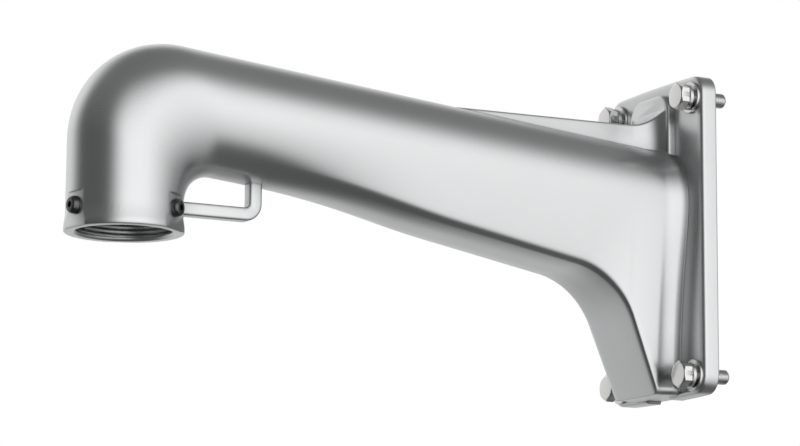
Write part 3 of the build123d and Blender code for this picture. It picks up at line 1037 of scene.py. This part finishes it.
def pattern_tree(name, material, kind, sizes):
    """Geometry Nodes tree that repeats the incoming mesh on a rectangle or on a circle."""
    tree = bpy.data.node_groups.new(name, "GeometryNodeTree")
    for side in ("INPUT", "OUTPUT"):
        tree.interface.new_socket("Geometry", in_out=side, socket_type="NodeSocketGeometry")
    for label, value in sizes.items():
        socket = tree.interface.new_socket(label, in_out="INPUT", socket_type="NodeSocketFloat")
        socket.default_value = value

    def add(node_type, **inputs):
        """Adds a node, and sets or links its inputs."""
        made = tree.nodes.new(node_type)
        for label, value in inputs.items():
            socket = made.inputs[label.replace("_", " ")]
            if isinstance(value, bpy.types.NodeSocket):
                tree.links.new(value, socket)
            else:
                socket.default_value = value
        return made

    given = tree.nodes.new("NodeGroupInput").outputs
    if kind == "rectangle":
        facing = (0, -pi / 2, 0)
        points = add("GeometryNodeMeshGrid", Size_X=given["Height"], Size_Y=given["Width"])
        points.inputs["Vertices X"].default_value = 2
        points.inputs["Vertices Y"].default_value = 2
        offset = add("ShaderNodeCombineXYZ", X=given["Place"])
        place = add("GeometryNodeTransform", Geometry=points.outputs["Mesh"], Rotation=facing)
    else:
        points = add("GeometryNodeMeshCircle", Vertices=given["Count"], Radius=given["Radius"])
        spin = add("ShaderNodeCombineXYZ", Z=given["First angle"]).outputs[0]
        turn = add("GeometryNodeTransform", Geometry=points.outputs["Mesh"], Rotation=spin)
        store = tree.nodes.new("GeometryNodeCaptureAttribute")
        store.capture_items.new("VECTOR", "Facing")
        tree.links.new(turn.outputs[0], store.inputs["Geometry"])
        tree.links.new(add("GeometryNodeInputPosition").outputs[0], store.inputs["Facing"])
        align = add("FunctionNodeAlignEulerToVector", Vector=store.outputs["Facing"])
        align.axis = "Z"
        facing = align.outputs["Rotation"]
        offset = add("ShaderNodeCombineXYZ", X=given["Axis X"], Z=given["Axis Z"])
        place = add("GeometryNodeTransform", Geometry=store.outputs["Geometry"])
    tree.links.new(offset.outputs[0], place.inputs["Translation"])
    copies = add("GeometryNodeInstanceOnPoints", Points=place.outputs[0], Instance=given["Geometry"])
    if kind == "rectangle":
        copies.inputs["Rotation"].default_value = facing
    else:
        tree.links.new(facing, copies.inputs["Rotation"])
    real = add("GeometryNodeRealizeInstances", Geometry=copies.outputs["Instances"])
    paint = add("GeometryNodeSetMaterial", Geometry=real.outputs[0], Material=material)
    end = tree.nodes.new("NodeGroupOutput")
    tree.links.new(paint.outputs[0], end.inputs["Geometry"])
    return tree


def repeat(item, name, material, kind, sizes):
    """Repeats an item's mesh with a tree whose inputs are set by identifier, and applies it."""
    tree = pattern_tree(name, material, kind, sizes)
    step = item.modifiers.new(name, "NODES")
    step.node_group = tree
    for socket in tree.interface.items_tree:
        if socket.in_out == "INPUT" and socket.name in sizes:
            step[socket.identifier] = float(sizes[socket.name])
    apply_modifiers(item)


class BRACKET_OT_finishes(bpy.types.Operator):
    """Write the materials of the casting, the bolts and the screws"""

    bl_idname = "bracket.finishes"
    bl_label = "Finishes"

    def execute(self, context):
        finish = context.scene.bracket_finish
        satin_casting(finish)
        bright_steel(finish)
        black_oxide(finish)
        return {"FINISHED"}


class BRACKET_OT_casting(bpy.types.Operator):
    """Build the cast arm with its plate, pad, rib and collar"""

    bl_idname = "bracket.casting"
    bl_label = "Arm casting"

    def execute(self, context):
        make_casting(context)
        return {"FINISHED"}


class BRACKET_OT_hook(bpy.types.Operator):
    """Build the safety cable hook"""

    bl_idname = "bracket.hook"
    bl_label = "Cable hook"

    def execute(self, context):
        make_hook(context)
        return {"FINISHED"}


class BRACKET_OT_wall_bolts(bpy.types.Operator):
    """Build the wall bolts with their spring and flat washers"""

    bl_idname = "bracket.wall_bolts"
    bl_label = "Wall bolts"

    def execute(self, context):
        fasteners = context.scene.bracket_fasteners
        plate = context.scene.bracket_plate
        steel = bpy.data.materials["Bright bolt steel"]
        flat = fasteners.flat_thickness
        stack = flat + fasteners.spring_thickness + fasteners.spring_rise
        rows = (
            (make_flat_washer_mesh(fasteners), 0.0, "flat_washer"),
            (make_spring_washer_mesh(fasteners), flat, "spring_washer"),
            (make_bolt_mesh(fasteners), stack, "wall_bolt"),
        )
        for item, lift, node in rows:
            sizes = {
                "Width": fasteners.spacing_y,
                "Height": fasteners.spacing_z,
                "Place": -plate.thickness - lift,
            }
            repeat(item, f"{node} pattern", steel, "rectangle", sizes)
            smooth(item, 35)
            finish_piece(item, steel, "bolt_steel", *[f"{node}_{i}" for i in range(1, 5)])
        return {"FINISHED"}


class BRACKET_OT_collar_screws(bpy.types.Operator):
    """Build the button-head screws around the collar"""

    bl_idname = "bracket.collar_screws"
    bl_label = "Collar screws"

    def execute(self, context):
        fasteners = context.scene.bracket_fasteners
        arm = context.scene.bracket_arm
        black = bpy.data.materials["Black screw steel"]
        item = make_screw_mesh(fasteners)
        sizes = {
            "Count": fasteners.screw_count,
            "Radius": fasteners.flat_distance,
            "First angle": fasteners.screw_angle,
            "Axis X": -arm.reach,
            "Axis Z": arm.rim_z + fasteners.screw_height,
        }
        repeat(item, "collar screw pattern", black, "circle", sizes)
        smooth(item, 35)
        names = [f"collar_screw_{i + 1}" for i in range(fasteners.screw_count)]
        finish_piece(item, black, "black_screw", *names)
        return {"FINISHED"}


class BRACKET_OT_stage(bpy.types.Operator):
    """Set up the camera, the studio light and the floor"""

    bl_idname = "bracket.stage"
    bl_label = "Stage"

    def execute(self, context):
        stage = context.scene.bracket_stage
        make_camera(context, stage)
        make_floor(stage)
        make_light(context, stage)
        context.scene.view_settings.view_transform = "Standard"
        return {"FINISHED"}


def make_camera(context, stage):
    """Camera at the photograph's place, which looks slightly upwards."""
    yaw, pitch, roll = stage.yaw, stage.pitch, stage.roll
    ahead = Vector((sin(yaw) * cos(pitch), cos(yaw) * cos(pitch), sin(pitch)))
    level = Vector((cos(yaw), -sin(yaw), 0))
    up = level.cross(ahead)
    right = level * cos(roll) + up * sin(roll)
    upward = up * cos(roll) - level * sin(roll)
    data = bpy.data.cameras.new("Camera")
    data.lens = stage.focal_length
    data.sensor_width = 36
    data.clip_start = 0.05
    data.clip_end = 50
    camera = bpy.data.objects.new("Camera", data)
    turned = Matrix((right, upward, -ahead)).transposed().to_4x4()
    camera.matrix_world = Matrix.Translation(Vector(stage.camera)) @ turned
    context.scene.collection.objects.link(camera)
    context.scene.camera = camera


def make_floor(stage):
    """Plain pale floor below the object."""
    bm = bmesh.new()
    bmesh.ops.create_grid(bm, x_segments=1, y_segments=1, size=6)
    bmesh.ops.translate(bm, verts=bm.verts, vec=(0, 0, stage.floor_z))
    floor = new_object("Floor", bm)
    shader = new_material("Pale floor", stage.floor)
    surface = shader.node(
        "ShaderNodeBsdfPrincipled",
        {},
        Base_Color=(*stage.floor, 1),
        Roughness=0.8,
        Emission_Color=(1, 1, 1, 1),
        Emission_Strength=stage.floor_glow,
    )
    shader.output("ShaderNodeOutputMaterial", surface)
    floor.data.materials.append(bpy.data.materials["Pale floor"])
    floor.visible_glossy = False


def make_light(context, stage):
    """Studio world: white where the camera looks, with a light on the near and the far side."""
    world = bpy.data.worlds.new("Studio")
    context.scene.world = world
    shader = Shader(world)
    x, y, z = shader.separate(shader.node("ShaderNodeTexCoord", {}, output=0))
    is_camera = shader.node("ShaderNodeLightPath", {}, output="Is Camera Ray")
    # Degrees round the object, 0 on the near side and 90 at the wall, and up from the horizon
    around = shader.node("ShaderNodeMath", {"operation": "ARCTAN2"}, x, y * -1.0) * (180 / pi)
    height = shader.node("ShaderNodeMath", {"operation": "ARCSINE"}, z) * (180 / pi)

    def fade(value, start, end):
        """Smooth step from 0 at the start to 1 at the end."""
        settings = {"interpolation_type": "SMOOTHSTEP"}
        return shader.node("ShaderNodeMapRange", settings, value, start, end, 0.0, 1.0)

    # The near side's light is full from -18 to 4 degrees round and thins out towards the wall
    key = fade(around, -58.0, -18.0) * fade(around, 104.0, 4.0)
    key = key * fade(height, -60.0, -33.0) * fade(height, 60.0, 18.0)
    key = key * (1.0 - fade(height, 2.0, -42.0) * 0.36) * (1.0 - fade(height, 5.0, 35.0) * 0.2)
    # The far side's light is weaker low down
    behind = fade(around.absolute(), 116.0, 158.0)
    behind = behind * fade(height, -60.0, -24.0) * fade(height, 66.0, 30.0)
    behind = behind * (1.0 - fade(height, 20.0, -40.0) * 0.5)
    # A weak light from everywhere is a little stronger from above and from the wall
    fill = fade(height, -10.0, 60.0) * 0.08 + fade(x, -0.2, 0.9) * 0.06 + stage.fill_light
    level = key * stage.key_light + behind * stage.back_light + fill
    grey = shader.node("ShaderNodeCombineColor", {}, level, level, level)
    colour = shader.blend(is_camera, grey, (1, 1, 1, 1))
    surface = shader.node("ShaderNodeBackground", {}, Color=colour, Strength=1.0)
    shader.output("ShaderNodeOutputWorld", surface)


class BRACKET_PT_panel(bpy.types.Panel):
    """Lists the bracket's pieces and settings"""

    bl_label = "Camera Wall Bracket"
    bl_idname = "BRACKET_PT_panel"
    bl_space_type = "VIEW_3D"
    bl_region_type = "UI"
    bl_category = "Bracket"

    def draw(self, context):
        layout = self.layout
        scene = context.scene
        for operator in OPERATORS:
            layout.operator(operator.bl_idname)
        groups = (
            scene.bracket_plate,
            scene.bracket_arm,
            scene.bracket_fasteners,
            scene.bracket_finish,
            scene.bracket_stage,
        )
        for group in groups:
            box = layout.box()
            for key in group.__annotations__:
                box.prop(group, key)


OPERATORS = (
    BRACKET_OT_finishes,
    BRACKET_OT_casting,
    BRACKET_OT_hook,
    BRACKET_OT_wall_bolts,
    BRACKET_OT_collar_screws,
    BRACKET_OT_stage,
)
SETTINGS = {
    "bracket_plate": PlateSettings,
    "bracket_arm": ArmSettings,
    "bracket_fasteners": FastenerSettings,
    "bracket_finish": FinishSettings,
    "bracket_stage": StageSettings,
}


def register():
    for group in SETTINGS.values():
        bpy.utils.register_class(group)
    for name, group in SETTINGS.items():
        setattr(bpy.types.Scene, name, bpy.props.PointerProperty(type=group))
    for operator in OPERATORS:
        bpy.utils.register_class(operator)
    bpy.utils.register_class(BRACKET_PT_panel)


def unregister():
    bpy.utils.unregister_class(BRACKET_PT_panel)
    for operator in reversed(OPERATORS):
        bpy.utils.unregister_class(operator)
    for name in SETTINGS:
        delattr(bpy.types.Scene, name)
    for group in reversed(list(SETTINGS.values())):
        bpy.utils.unregister_class(group)


def main():
    """Builds everything in order."""
    register()
    bpy.ops.bracket.finishes()
    bpy.ops.bracket.casting()
    bpy.ops.bracket.hook()
    bpy.ops.bracket.wall_bolts()
    bpy.ops.bracket.collar_screws()
    bpy.ops.bracket.stage()


if __name__ == "__main__":
    main()
